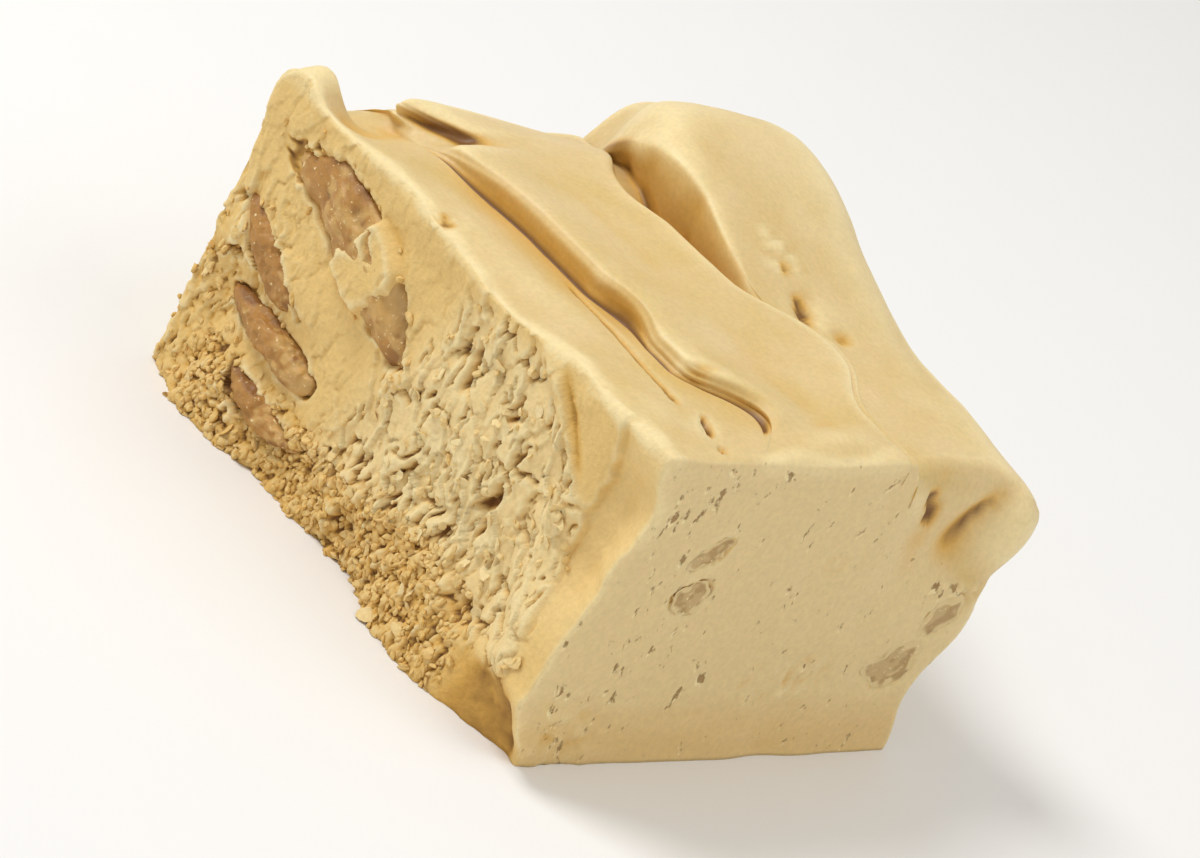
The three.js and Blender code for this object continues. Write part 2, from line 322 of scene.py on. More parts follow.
def chips(y, z, turn, cell, seed):
    """Flat torn chips: each place lies on the plane of the nearest centre in a turned lattice.

    A plane has its own drawn height and tilt. Gives the height, about -1 to 1, and how near a chip's edge is.
    """
    nearest, second, height = np.full(len(y), 9.0), np.full(len(y), 9.0), np.zeros(len(y))
    for at, on, off in near_centres(*turned(y, z, turn), cell, seed):
        far = np.hypot(on, off)
        level, lean, tip = (2 * cell_random(at, seed + k) - 1 for k in (2, 3, 4))
        closer = far < nearest
        height = np.where(closer, 0.6 * level + 0.5 * lean * on + (0.6 * tip + 0.5) * off, height)
        second = np.where(closer, nearest, np.minimum(second, far))
        nearest = np.minimum(nearest, far)
    return height, rise(0.16, 0.02, second - nearest)


def leaning_chips(y, z, cell, seed):
    """Chips that stand upright and lean over towards the strip at the front."""
    leaning, upright = chips(y, z, FRONT_RUN, cell, seed), chips(y, z, BACK_RUN, cell, seed + 6)
    return [blend(a, b, rise(13, 19, y)) for a, b in zip(leaning, upright)]


def cracks(run, aside, cell, share, seed):
    """Separate cracks: in a share of the cells, an ellipse of drawn half sizes; 1 in its middle."""
    most = np.zeros(len(run))
    for at, on, off in near_centres(run, aside, cell, seed):
        long = blend(0.15, 0.5, cell_random(at, seed + 2))
        wide = blend(0.07, 0.18, cell_random(at, seed + 3))
        crack = rise(1, 0.5, np.hypot(on / long, off / wide))
        most = np.maximum(most, crack * (cell_random(at, seed + 4) < share))
    return most


# The block's form, as its solid has it, with the fold at the back of the top worked finer

def lip_share(y):
    """Share of the lip's full height over the first crease: low at the nose, none at the back."""
    return (0.35 * rise(4, 8, y) + 0.65 * rise(20, 29, y)) * fall(48, 63, y)


def pocket_share(y):
    """Share of the pocket's full depth under the hump."""
    return rise(*POCKET_START, y) * (1 - 0.75 * rise(46, 54, y))


def fold_share(y):
    """Share of the fold at the back of the top."""
    return plateau(57.5, 62, 67.5, 70, y)


def top_lines(y, block):
    """Knots of the line across the top at each distance y from the front.

    From the torn edge: the band, the first crease and the lip that curls over it, the dished tongue, the
    pocket under the hump's lip, the hump and the right edge. Heights and places are sums of smooth rises
    and hills in y.
    """
    width = block.top_width + 1.3 * hill(y, 6, 16) + 1.2 * hill(y, 29, 14)
    width += 6.2 * rise(22, 56, y) - 3 * rise(66, 76, y)
    roll = block.back_roll * rise(56, 78, y)
    crease = block.crease_place + 1.3 * hill(y, 26.5, 6) + 6 * hill(y, 8.5, 8.5) - 2.6 * rise(42, 64, y)
    lip = block.first_lip * lip_share(y)
    near = block.pocket_place + 1.5 * fall(0, 12, y) + 5.2 * hill(y, 20, 12)
    near += 13.3 * rise(53, 76, y) - 2 * hill(y, 51, 8)
    depth = block.pocket_depth * pocket_share(y)
    reach = block.pocket_width * (0.55 + 0.45 * rise(28, 46, y)) + 2 * hill(y, 52, 8)
    reach *= 1 - 0.7 * rise(57, 64, y)
    edge = block.edge_height - 2.1 * hill(y, 29, 14) - 0.6 * hill(y, 63, 7)
    edge += 0.9 * hill(y, 71.5, 5) - 2.4 * rise(72.5, 75.5, y)
    band = block.band_height - roll + 1.8 * hill(y, 73, 9)
    tongue = blend(block.band_height, block.tongue_height, rise(0, 16, y)) - roll - 0.8 * hill(y, 68, 11)
    hump = blend(block.hump_start, block.hump_height, rise(17, 56, y)) - 1.2 * roll
    right = block.right_height + 2.8 * rise(0, 17, y) + 7.2 * rise(23, 58, y) - 1.1 * roll
    floor = tongue - depth
    curl = 2.6 * hill(y, 68.5, 8)
    stub = rise(65.5, 71.5, y)
    wall = 0.93 * fall(46, 69, y)
    lean = (1.4 + rise(44, 52, y)) * rise(*POCKET_START, y) * (1 - 0.6 * rise(57, 66, y))
    dish = 0.9 * hill(y, 15, 12) - 0.8 * hill(y, 3.6, 3.4)
    # The fold at the back runs slantwise: a spoon-shaped hollow with a raised rim behind it
    fold, foot = fold_share(y), 10.9 + 0.877 * np.clip(67.3 - y, 0, 6.3)
    spoon = 38.7 - 0.3 * rise(60, 65, y)
    knots = [
        (0 * y, edge),
        (blend(0.5 * crease, 4.2, stub), blend(band, edge, stub)),
        (blend(crease, 5.6, stub), band - 0.35 * lip),
        (crease + 1 - 0.4 * lip_share(y), band + 0.6 * lip + 0.5 * curl),
        (blend(crease + 2.6, foot, fold), blend(tongue + 0.3 * lip + curl, spoon, fold)),
        (blend(0.5 * (crease + near) + 1, foot + 3.6, fold), blend(tongue - dish, 40.1, fold)),
        (near, tongue + 0.4),
        (near + 0.45 * reach, floor + 0.15 * depth),
        (near + reach, floor),
        (near + reach + 1 - lean - 0.8 * hill(y, 57, 6), blend(floor, hump, wall)),
        (near + reach + 2.5 + 2.5 * rise(56, 68, y), hump - 1.4 * rise(58, 70, y)),
        (width - 7 + 3 * rise(60, 74, y), blend(hump, right, 0.4) + 0.5),
        (width, right),
    ]
    return np.array(knots)


def along_knots(knots, u):
    """Cubic through the knots: at u from 0 to 1 each span is a Hermite curve with half-chord slopes."""
    spans = len(knots) - 1
    padded = np.concatenate([2 * knots[:1] - knots[1:2], knots, 2 * knots[-1:] - knots[-2:-1]])
    span = np.minimum((u * spans).astype(int), spans - 1)
    t = u * spans - span
    each = np.arange(len(u))
    before, start, end, after = (padded[span + i, :, each].T for i in range(4))
    leave, arrive = 0.5 * (end - before), 0.5 * (after - start)
    return (start * (2 * t**3 - 3 * t**2 + 1) + leave * (t**3 - 2 * t**2 + t)
            + end * (3 * t**2 - 2 * t**3) + arrive * (t**3 - t**2))


def kernel_lumps(kernel, turn):
    """Radius of a kernel as a share of the plain one, waved three and five times round its outline."""
    return 1 + 0.07 * np.sin(3 * turn + kernel.along) + 0.05 * np.sin(5 * turn + kernel.up)


def kernel_bend(kernel, run):
    """How far a kernel bends aside at a share of its half length: the square of that share, evened out."""
    return kernel.bend * (np.clip(run, -1, 1) ** 2 - 0.35)


def kernel_reach(kernel, along, up):
    """Distance from a kernel's middle over its outline's distance that way: 1 on the outline."""
    run, aside = turned(along - kernel.along, up - kernel.up, kernel.tilt)
    run = run / kernel.long
    aside = (aside - kernel_bend(kernel, run)) / kernel.wide
    return np.hypot(run, aside) / kernel_lumps(kernel, np.arctan2(aside, run))


def foot_out(y, z):
    """Slack foot of the torn side: two hills along y that fade by a height of 13 mm."""
    return 3.4 * (hill(y, 17, 17) + 0.8 * hill(y, 62, 15)) * fall(0, 13, z)


def sheet_line(z):
    """Distance from the front at which the first torn sheet ends."""
    return 4 + 3.2 * rise(12, 24, z)


def torn_zones(y, z):
    """Shares of the torn side that are flaky, crumbly, and smooth with painted brown shade, from 0 to 1."""
    edge = plateau(0, 3, 33.5, 37.5, z) * fall(70, 75, y)
    line = 8 + 3 * hill(y, 26, 18)
    patch = plateau(0.7, 2.2, 8, 15, y) * fall(6, 10, z + 0.3 * np.abs(y - 6))
    crumbly = plateau(10, 16, 66, 72, y) * fall(line - 2, line + 3, z)
    crumbly = np.maximum(crumbly, 0.3 * rise(65, 70, y) * fall(18, 27, z))
    sheet = sheet_line(z) + 11 * rise(26, 36, z)
    flaky = rise(sheet - 1, sheet + 2.5, y) * fall(36, 46, y + 0.45 * (z - 20)) * rise(line - 3, line + 2, z)
    return edge * flaky, crumbly * (1 - patch), patch


def skin_lattice(spans, along, up):
    """Lattice over five sides of a box, finest on the torn side, with the ring of the base.

    Places are whole steps of the finest lattice. The torn side takes every step, the front and the top every
    second and the other two every fourth. A cell beside a finer side also takes that side's places along
    their edge. The u places follow the spans, so that narrow runs across the top still get enough columns.
    """
    places = [(i + np.arange(1, n + 1) / n) / len(spans) for i, n in enumerate(spans)]
    u_places = np.concatenate([[0.0], *places])
    number = np.arange(len(u_places) * (along + 1) * (up + 1)).reshape(-1, along + 1, up + 1)
    sides = ((number[0], 1, True), (number[-1], 4, False), (number[:, 0], 2, False),
             (number[:, -1], 4, True), (number[:, :, -1], 2, False))
    used = np.zeros(number.size, bool)
    for sheet, step, flip in sides:
        used[sheet[::step, ::step]] = True
    loops, sizes = [], []
    for sheet, step, flip in sides:
        i = np.arange(0, sheet.shape[0] - 1, step)[:, None, None]
        j = np.arange(0, sheet.shape[1] - 1, step)[None, :, None]
        go, none = np.arange(step), np.zeros(step, int)
        walk = sheet[i + np.concatenate([go, none + step, step - go, none]),
                     j + np.concatenate([none, go, none + step, step - go])].reshape(-1, 4 * step)
        walk = walk[:, ::-1] if flip else walk
        kept = used[walk]
        loops.append(walk[kept])
        sizes.append(kept.sum(axis=1))
    base = number[:, :, 0]
    ring = np.concatenate([base[0, :-1], base[:-1, -1], base[-1, :0:-1], base[:0:-1, 0]])
    ring = ring[used[ring]]
    renumbered = np.cumsum(used) - 1
    i, j, k = np.nonzero(used.reshape(number.shape))
    return (u_places[i], j / along, k / up, renumbered[np.concatenate(loops)], np.concatenate(sizes),
            renumbered[ring])


def next_corners(loops, sizes):
    """For each corner of each face, the corner that follows it round the face."""
    last = np.cumsum(sizes) - 1
    after = np.arange(1, len(loops) + 1)
    after[last] = last - sizes + 1
    return loops[after]


def unit(vectors):
    """Vectors in rows, each made one long."""
    return vectors / np.maximum(np.linalg.norm(vectors, axis=1, keepdims=True), 1e-12)


def added_up(index, rows, count):
    """For each index below count, the sum of the rows that have it."""
    return np.stack([np.bincount(index, rows[:, i], count) for i in range(3)], 1)


def vertex_normals(points, loops, sizes):
    """Unit normals at the points: each face's sum of crossed neighbours, added up at its corners."""
    face = np.repeat(np.arange(len(sizes)), sizes)
    crossed = np.cross(points[loops], points[next_corners(loops, sizes)])
    areas = added_up(face, crossed, len(sizes))
    return unit(added_up(loops, areas[face], len(points)))


def relaxed(points, loops, sizes, rounds):
    """Points after so many rounds of moving each halfway to the mean of its neighbours."""
    ends = next_corners(loops, sizes)
    here, there = np.concatenate([loops, ends]), np.concatenate([ends, loops])
    count = np.bincount(here, minlength=len(points))[:, None]
    for _ in range(rounds):
        points = 0.5 * points + 0.5 * added_up(here, points[there], len(points)) / count
    return points


def end_hollows(x, z):
    """Shares of the hollows in the right end: a crescent, a valley and the valley's shaded and lit sides.

    The crescent leans and has a crisp left edge. The valley lies along a bent line. It falls softly from the
    left and climbs steeply to the knob on its right.
    """
    along, aside = turned(x - 44.4, z - 32.3, -59.2)
    crescent = hill(along, 0, 3.7) * plateau(-1.2, -0.6, -0.4, 1.7, aside)
    aside = x - 51.5 - 0.065 * np.clip(z - 25.5, 0, 12) ** 2
    valley = plateau(-5, -0.3, -0.3, 2.6, aside) * plateau(23, 28, 31.5, 36.5, z)
    shaded = plateau(-4, -0.4, -0.5, 0.9, aside) * hill(z, 30, 5.5)
    return crescent, valley, shaded, valley * rise(0.2, 1.5, aside)


def block_form(u, v, w, block):
    """Block surface: the base blended up to the top line by w, with rounded edges and the sides' own form."""
    size = np.array([block.front_width, block.length, block.band_height])
    # The skin rounds over softly at the front right
    radius = block.edge_radius + 3.2 * rise(0.74, 0.86, u) * fall(0.08, 0.25, v) * rise(0.5, 0.8, w)
    radius -= 0.6 * fall(0.02, 0.06, u) * fall(0.02, 0.06, v)
    flat = np.stack([u, v, w], axis=1) * size
    core = np.clip(flat, np.stack([radius, radius, 0 * radius], axis=1), size - radius[:, None])
    out = flat - core
    far = np.linalg.norm(out, axis=1)
    place = (core + out * np.minimum(1, radius / np.maximum(far, 1e-9))[:, None]) / size
    y = place[:, 1] * size[1]
    lines = top_lines(y, block)
    top = along_knots(lines, place[:, 0])
    # The hump's lip is crisp: past it the line domes over to the hump
    past = TOP_SPANS * place[:, 0] - HUMP_LIP
    lip, crown, shoulder = lines[HUMP_LIP:HUMP_LIP + 3]
    end = 0.2 * (shoulder - lip)
    start = 2 * (crown - lip) - end
    over = lip + past * start + past**2 * (end - start) / 2
    top = np.where((past > 0) & (past < 1), blend(top, over, rise(*POCKET_START, y)), top)
    base_x = place[:, 0] * blend(block.front_width, block.back_width, y / size[1])
    x = blend(base_x, top[0], place[:, 2])
    z = top[1] * place[:, 2]
    inside = plateau(0, 4, 33, 38, z) * fall(68, 74, y)
    scoop = 2.6 * hill(y, 2, 10) * rise(0, 5, y) * plateau(14, 24, 28, 38, z)
    torn = rise(8, 15, y) * (1 - rise(46, 58, y) * rise(14, 20, z))
    x = x + (u == 0) * (inside * (scoop + 0.8 * torn) - foot_out(y, z))
    # The cut front is drawn out to the left near its foot and set back below the top
    drawn = 1.4 * hill(z, 32.5, 6) - 3.6 * plateau(0, 9, 10, 24, z)
    x = x + hill(x, 0, 16) * hill(y, 0, 15) * drawn
    right, front = hill(size[0] * (1 - u), 0, 7), hill(size[1] * v, 0, 7)
    bulge = hill(z, 29.5, 8.5) * (1 + 2.9 * hill(y, 0, 22))
    x = x + right * (bulge - 2.4 * hill(z, 8.5, 8))
    skin = 1.7 * plateau(38, 47, 53, 60, x) * rise(19, 29, z)
    crescent, valley = end_hollows(x, z)[:2]
    knob = dome(x, z, (57.5, 29), 6)
    y = y + front * (skin + 1.5 * crescent + 1.2 * valley - 0.9 * knob)
    # The edges of the cut and of the top beside the torn side are ragged
    wave = np.stack([0 * y, 0.5 * y, z], axis=1)
    ragged = hill(x, 0, 8) * hill(y, 0, 9) * rise(0, 4, z)
    x = x + ragged * noise_sum(wave, (0.7, 6, 21), (0.3, 2, 22))
    z = z + hill(x, 0, 5) * rise(30, 37, z) * noise_sum(wave, (0.6, 5, 23), (0.3, 1.8, 24))
    return np.stack([x, y, z], axis=1)


# The fine relief of the sides

def torn_relief(spot, flaky, crumbly, calm, patch, block):
    """Relief, gap share and crest share of the torn side: sheets with gaps at their feet, and crumbs below.

    Places are first shifted by soft noise, so that each sheet gets a ragged outline.
    """
    along, up = spot.T[1:]
    y = along + noise_sum(spot, (0.8, 2.4, 11), (0.35, 0.9, 12))
    z = up + noise_sum(spot, (0.8, 2.4, 13), (0.35, 0.9, 14))
    coarse, foot = leaning_chips(y, z, PLATE_CELL, 31)
    fine = leaning_chips(y, z, CHIP_CELL, 43)[0]
    back = 0.3 * rise(54, 66, along) * fall(22, 30, up)
    clumps = 0.55 + 0.45 * rise(-0.3, 0.2, soft_noise(spot, 8, 61))
    worked = (flaky + 0.5 * crumbly) * clumps + back * calm
    broken = rise(0, 0.3, soft_noise(spot, 2.2, 65))
    torn = cracks(*turned(y, z, CRACK_RUN), CRACK_CELL, 0.8, 47)
    gaps = worked * np.maximum(0.7 * foot * broken, torn)
    lively = rise(-0.1, 0.5, soft_noise(spot, 5, 69))
    crests = worked * np.maximum(rise(0.3, 0.8, coarse), 0.6 * rise(0.4, 0.9, fine) * lively)
    sheets = 0.48 * coarse + (0.06 + 0.22 * lively) * fine + 0.35 * soft_noise(spot, 5, 62)
    relief = worked * block.scale_height * sheets - 1.1 * gaps
    large, middling, small = (pebbles(spot, *grain) for grain in GRAINS)
    grains = np.maximum(large, 0.8 * middling) + 0.4 * small
    relief += crumbly * (1.6 * grains - 1.5 + 0.8 * soft_noise(spot, 4, 59))
    gaps = np.maximum(gaps, crumbly * rise(1.05, 0.6, grains))
    relief += calm * (0.2 * coarse + 0.08 * fine + 0.35 * soft_noise(spot, 5, 67))
    # The first torn sheet ends in a ragged line beside the smooth strip at the front
    line = sheet_line(up) + 0.7 * soft_noise(spot * [0, 0, 1], 7, 63) + 0.3 * soft_noise(spot, 1.5, 64)
    relief += 0.6 * rise(line - 0.25, line + 0.25, along) * hill(along, 7, 8) * rise(11, 15, up)
    # Above it a second sheet ends in a slanting fold
    aside = along - 11.7 - 0.85 * (up - 30.2) + 0.4 * soft_noise(spot, 3, 66)
    high = plateau(27, 31, 36, 38.5, up)
    relief += 0.8 * high * plateau(-0.3, 0.3, 0, 7, aside)
    gaps = np.maximum(gaps, 0.4 * high * hill(aside, -0.5, 1.2))
    tears = np.max([near_line(y, z, *tear) for tear in TEARS], axis=0)
    relief -= 1.6 * tears + patch * (0.9 * hill(up, 4, 6) - 0.5 * rough_noise(spot, 2.6, 68))
    return relief, np.maximum(gaps, 1.2 * tears), crests


def top_relief(points, u):
    """Relief, brown share and pale share of the poured top.

    The crease under the first lip, the hump's shaded wall, the fold's hollow and the pale ridge before the
    pocket lie at their knots of the line across. A groove, a slit, a wedge, pits and scraps lie at their
    plan places, and a pale rim follows the edge over the cut. The brown share is painted shade in all these
    hollows, on the first lip's wall and between the scraps; the pale share adds a painted highlight on the
    scraps' tops.
    """
    x, y = points.T[:2]
    knot = TOP_SPANS * u
    lip = lip_share(y)
    foot = rise(0, 0.3, lip) * hill(np.where(knot < CREASE, 4, 1) * (knot - CREASE), 0, 0.22)
    wall = plateau(*POCKET_START, 62, 71, y) * rise(HUMP_LIP + 0.06, HUMP_LIP - 0.02, knot)
    steep = 0.3 * hill(y, 60, 6) * rise(0.2, 0.6, knot - POCKET_FLOOR)
    steep += 0.35 * rise(-0.2, 0.15, knot - POCKET_FLOOR) + 0.15 * rise(0.6, 0.95, knot - POCKET_FLOOR)
    spoon = fold_share(y) * hill(knot, FOLD + 0.3, 0.7)
    groove = 11.85 - 0.13 * (32.5 - y) + 0.15 * soft_noise(points * [0, 1, 0], 5, 79)
    run = plateau(8, 12, 31, 35, y)
    slit = dome(x - 0.45 * (y - 6.4), y, (10.1, 6.4), 1, (0.8, 2.5))
    nick = dome(x, y, (8.9, 2.1), 1)
    wedge = dome(x, y + 0.3 * (x - 15.8), (15.8, 15), 1, (2.6, 1.2))
    pits = dome(x - 0.3 * (y - 29.6), y, (43.4, 28.6), 1, (1.9, 4.2)) + 0.5 * dome(x, y, (46.8, 25), 1.8)
    scraps = dome(x, y, (43.2, 36), 3.6, (1, 1.5)) + dome(x, y, (1.6, 44), 3)
    bits = scraps * rough_noise(points, 1.8, 83)
    relief = bits + 0.03 * soft_noise(points * [1, 0.06, 1], 1.3, 81) - 0.4 * foot - 0.4 * spoon
    relief -= 0.45 * run * hill(x, groove, 0.75) + 2.0 * slit + 0.8 * nick + 0.3 * wedge + 1.1 * pits
    # Painted shade: brown in the crease, on the lip's and the hump's walls, in the fold's hollow and the
    # groove
    brown = 0.85 * foot + 0.4 * lip * hill(knot, CREASE + 0.3, 1.3) + wall * steep
    brown += 1.1 * spoon * (1 - 0.5 * rise(62.5, 68, y)) + 0.45 * run * hill(x, groove, 0.5)
    # Painted shade: brown in the slit, the wedge, the pits and under the scraps
    brown += 1.5 * slit + 0.4 * wedge + 0.1 * pits + 0.6 * rise(0.1, 0.5, -bits)
    ridge = np.maximum(pocket_share(y), plateau(2, 8, *POCKET_START, y)) * hill(knot, POCKET_EDGE + 0.3, 0.5)
    rim = hill(y, 0.5 + 1.2 * hill(x, 19, 6) + 1.6 * rise(29, 34, x), 1.3) * plateau(11, 16, 33, 36, x)
    # The pale share adds a painted highlight on the scraps' tops
    pale = np.maximum(0.5 * ridge, 0.6 * np.maximum(rim, rise(0.05, 0.4, bits)))
    return relief, np.clip(brown, 0, 1), pale


def cut_relief(points):
    """Relief of the knife-cut front: smears, a swirled dent, a crumbly corner, a rough spot and a scrape."""
    x, _, z = points.T
    ring = np.hypot(x - 31.8, z - 25.9)
    relief = 0.10 * soft_noise(points * [0.16, 1, 1], 1.6, 97) * fall(8, 16, z)
    relief += 0.10 * np.cos(2.6 * ring) * hill(ring, 0, 4.5) + 0.22 * soft_noise(points, 6, 95)
    relief += 0.5 * dome(x, z, (3, 2), 11) * rough_noise(points, 2.2, 99)
    relief += 0.9 * dome(x, z, (55, 22), 2.6, (2.2, 1)) * soft_noise(points, 1.2, 91)
    return relief + 0.6 * dome(x, z, (34, 10), 5, (2.2, 1)) * rough_noise(points, 1.7, 93)


def press_kernels(points, facing, ragged, relief, droop, brown):
    """Relief, droop and brown share after the outline of each kernel is pressed in.

    The bed's rim is ragged, so that it laps over the kernel here and there. Facing tells how squarely the
    surface faces each of the two sides.
    """
    x, y, z = points.T
    broken = rise(-0.1, 0.3, soft_noise(points, 3, 115))
    for name, kernel in KERNELS.items():
        share, rag, level, brown_share = BEDS[kernel.side]
        side = facing[kernel.side]
        reach = kernel_reach(kernel, y if kernel.side == "torn" else x, z)
        bridge = 0 * y
        if name in BRIDGES:
            bridge = rise(0.1, 0.5, near_line(y, z, *BRIDGES[name]) + 0.5 * ragged)
        limit = share + rag * ragged - 0.9 * bridge
        bed = rise(limit + 0.1, limit - 0.03, reach) * side
        relief = blend(relief, level, bed) + 1.5 * bridge * side * fall(0.8, 1.1, reach)
        droop = droop * (1 - bed)
        brown = brown + brown_share * hill(reach, limit + 0.04, 0.08) * broken * side
    return relief, droop, brown


def block_relief(points, normals, sides, block):
    """Height of the fine relief along the normals, its droop, and the share of each finish.

    The sides' own reliefs are weighed by how squarely the surface faces that way, edges are nicked with
    noise, and the kernels are pressed in last.
    """
    x, y, z = points.T
    u, v, w = sides
    left, front, back = u == 0, v == 0, v == 1
    torn_side = left * rise(0.3, 0.7, -normals[:, 0])
    cut_side = (front | back) * rise(0.4, 0.75, np.abs(normals[:, 1]))
    top = (w == 1) * rise(0.1, 0.4, np.abs(normals[:, 2]))
    flaky, crumbly, patch = (share * torn_side for share in torn_zones(y, z))
    calm = torn_side * (1 - np.clip(flaky + crumbly, 0, 1)) * rise(10, 14, y)
    relief = 0.12 * rough_noise(points, 9, 3) + 0.05 * rough_noise(points, 3, 5) * (1 - cut_side)
    droop = np.zeros(len(points))
    crescent, _, shaded, lit = end_hollows(x, z)
    # Painted shade on the cut front: browner towards the base, in the crescent and on the valley's shaded
    # side
    front_painted_shade = 0.15 * fall(3, 10, z) + 0.35 * crescent + 0.45 * shaded
    # Painted shade browns the smooth patch at the torn side's foot, by uneven amounts
    mottled = 0.68 + 0.3 * rough_noise(points, 3, 121)
    brown = mottled * patch + front * cut_side * front_painted_shade
    # Painted highlight on the cut front: the knob, outside the valley's shade, and the valley's lit side
    pale = front * np.maximum(0.8 * dome(x, z, (57, 29.5), 6.5) * (1 - shaded), 0.6 * lit)

    at = np.flatnonzero(torn_side > 0)
    zones = (share[at] for share in (flaky, crumbly, calm, patch))
    droop[at], gaps, crests = torn_relief(points[at], *zones, block)
    relief += droop
    # Painted shade browns the gaps and tears and the whole crumbly zone
    brown[at] += 0.85 * gaps + 0.3 * crumbly[at]
    # Painted highlight on crests and the front strip; the flaky zone is paler, part dry paste, part painted
    # light
    strip = 0.2 * fall(5, 9, y[at]) * rise(12, 18, z[at])
    pale[at] += 0.6 * crests + 0.55 * flaky[at] + strip * torn_side[at]

    at = np.flatnonzero(w == 1)
    raised, brown_share, rims = top_relief(points[at], u[at])
    relief[at] += top[at] * raised
    brown[at] += brown_share
    pale[at] += rims

    at = np.flatnonzero(cut_side > 0)
    relief[at] += cut_side[at] * cut_relief(points[at])
    nicked = rise(0.2, 0.6, 1 - np.max(np.abs(normals), axis=1)) * rise(0.5, 2, z) * (left | front | back)
    relief += nicked * (0.2 + 0.5 * rough_noise(points, 1.6, 71) + 0.3 * soft_noise(points, 5, 73))
    ragged = noise_sum(points, (0.6, 4.5, 111), (0.4, 1.4, 113))
    facing = {"torn": torn_side, "cut": cut_side * front}
    relief, droop, brown = press_kernels(points, facing, ragged, relief, droop, brown)
    pores = np.max([crowd * near_line(x, z, *line) for *line, crowd in PORE_LINES], axis=0)
    pores = np.where(back, rise(0.1, 0.6, soft_noise(points, 8, 123)), pores)
    clean = np.where(back, fall(36, 39, z), fall(75, 78, x + z))
    # Dry sugar pales the two edges of the torn side that show
    worn = left * np.maximum(hill(y, 0.1, 0.8), hill(z, 38.6, 1.4))
    worn += front * hill(block.front_width * u, 0, 0.5)
    worn = np.maximum(worn, (w == 1) * hill(x, 0.3, 1.7)) * (0.75 + 0.5 * ragged)
    # The rim share carries the painted highlight of pale, with the nicked and worn edges
    rim = pale + 0.3 * nicked + 0.6 * worn * rise(1, 4, z)
    return relief, droop, {"torn": torn_side, "cut": cut_side * clean, "flaky": flaky, "crumbly": crumbly,
                           "pore": pores * cut_side, "hollow": brown, "rim": rim}


def paint_cavity_shade_and_highlights(points, sides, loops, sizes, shares):
    """Adds painted shade, as brown in the hollow share, and painted highlight, as pale in the rim share.

    The shade grows with how far a place lies below its surroundings, the highlight with how far it lies
    above them; the surroundings are the surface after rounds of relaxing. The back, the right side and the
    right end of the front get less of both.
    """
    x, y, z = points.T
    u, v, w = sides
    normals = vertex_normals(points, loops, sizes)
    fine, broad = (np.sum((relaxed(points, loops, sizes, rounds) - points) * normals, axis=1)
                   for rounds in (FINE_ROUNDS, BROAD_ROUNDS))
    inner = rise(0, 1.5, z) * np.where((u == 1) | (v == 1) | (x > RIGHT_END) & (v == 0), 0.3, 1)
    gritty = 1.5 + 5 * shares["crumbly"] + shares["flaky"]
    # Painted shade: brown where the surface lies below its relaxed surroundings
    hollow = shares["hollow"] + inner * (gritty * np.clip(fine - 0.04, 0, 1)
                                         + 0.35 * np.clip(broad - 0.15, 0, 2))
    inner = inner * blend(0.3, 1, rise(3, 6, np.hypot(np.maximum(x + 3, 0), y)))
    # Painted highlight: pale where the surface lies above them
    rim = shares["rim"] + inner * (2.2 * np.clip(-fine - 0.02, 0, 1) + 0.8 * np.clip(-broad - 0.15, 0, 1))
    rim *= 1 - ((w == 1) | (u == 0)) * rise(0.3, 0.8, hollow)
    # The front edge of the top loses most pale rim and painted highlight, save for a stretch in its middle
    bare = rise(1, 2.5, x) * (1 - 0.7 * plateau(11, 16, 33, 36, x))
    rim *= 1 - 0.8 * fall(1.5, 3, y) * bare * rise(34, 36, z)
    shares.update(hollow=np.clip(hollow, 0, 1), rim=np.clip(rim, 0, 0.9))


# Meshes and finishes

def put_piece(name, points, loops, sizes, finish, shares, smooth=True):
    """A mesh object at the origin from points in the block's millimetres, riding on the one body.

    Loops give the corners of the faces one after the other, sizes the number of corners of each face.
    """
    mesh = bpy.data.meshes.new(name)
    mesh.vertices.add(len(points))
    mesh.vertices.foreach_set("co", ((points - PLAN_CENTRE) * MM).astype(np.float32).ravel())
    mesh.loops.add(len(loops))
    mesh.loops.foreach_set("vertex_index", loops.astype(np.int32))
    mesh.polygons.add(len(sizes))
    mesh.polygons.foreach_set("loop_start", (np.cumsum(sizes) - sizes).astype(np.int32))
    mesh.polygons.foreach_set("use_smooth", np.full(len(sizes), smooth))
    mesh.update(calc_edges=True)
    if mesh.validate():
        raise RuntimeError(f"{name} has faulty faces")
    for label, values in shares.items():
        mesh.attributes.new(label, "FLOAT", "POINT").data.foreach_set("value", values.astype(np.float32))
    mesh.materials.append(finish)
    piece = bpy.data.objects.new(name, mesh)
    bpy.context.scene.collection.objects.link(piece)
    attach(piece, "root")
    return piece


def add_node(tree, kind, settings):
    """A node of the kind. Settings are attributes by name, or sockets by name or number.

    A pair of a node and its output is linked, and a colour is made opaque.
    """
    node = tree.nodes.new(kind)
    for key, value in settings.items():
        if isinstance(value, tuple) and isinstance(value[0], bpy.types.Node):
            tree.links.new(value[0].outputs[value[1]], node.inputs[key])
        elif isinstance(key, int) or key in node.inputs:
            node.inputs[key].default_value = (*value, 1) if isinstance(value, Color) else value
        else:
            setattr(node, key, value)
    return node


def share_of(tree, name):
    """A share that the mesh carries under this name."""
    return add_node(tree, "ShaderNodeAttribute", {"attribute_name": name}), "Fac"


def noise(tree, spot, size, detail, roughness=0.5):
    """Noise in lumps of about the size in metres."""
    settings = {"Scale": 1 / size, "Detail": detail, "Roughness": roughness, "Vector": spot}
    return add_node(tree, "ShaderNodeTexNoise", settings), 0


def ranged(tree, value, start=0.0, end=1.0, low=0.0, high=1.0):
    """A value that runs from low to high while another runs from start to end."""
    settings = {"From Min": start, "From Max": end, "To Min": low, "To Max": high, "Value": value}
    return add_node(tree, "ShaderNodeMapRange", settings), 0


